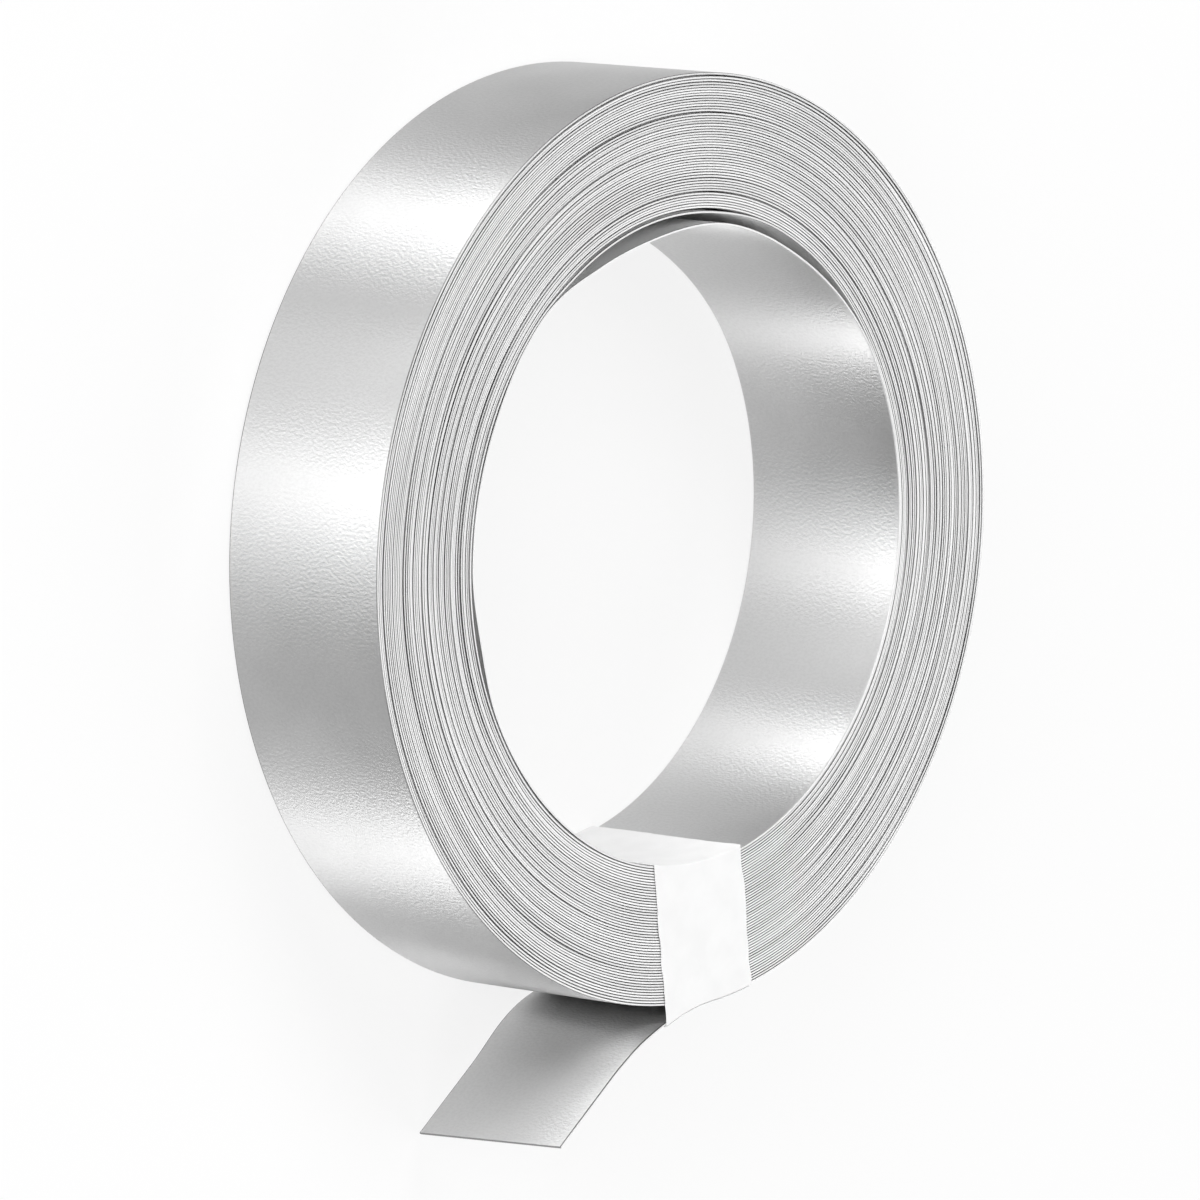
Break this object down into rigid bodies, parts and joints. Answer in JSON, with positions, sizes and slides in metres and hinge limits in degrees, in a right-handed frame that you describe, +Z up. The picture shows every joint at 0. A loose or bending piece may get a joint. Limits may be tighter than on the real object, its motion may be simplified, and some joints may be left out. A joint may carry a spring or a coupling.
{
  "type": "nickel strip roll",
  "caption": "Roll of bare nickel strip for welding battery cells together, wound without a reel, held by one band of paper tape, with its free end loose.",
  "frame": {"origin": "on the floor, on the roll's axis, below the middle of the roll, which lies on one of its ends", "axes": "+Z up along the roll's axis, towards the end that the picture shows; the strip's free end leaves the rim on the +X side and points towards -Y, just inside that side"},
  "size_m": [0.0722, 0.0722, 0.0152],
  "materials": {
    "nickel": "cold-rolled matte nickel",
    "tape": "matte white paper tape"
  },
  "bodies": {
    "root": {"nickel_strip": "nickel", "paper_tape": "tape"}
  },
  "joints": []
}
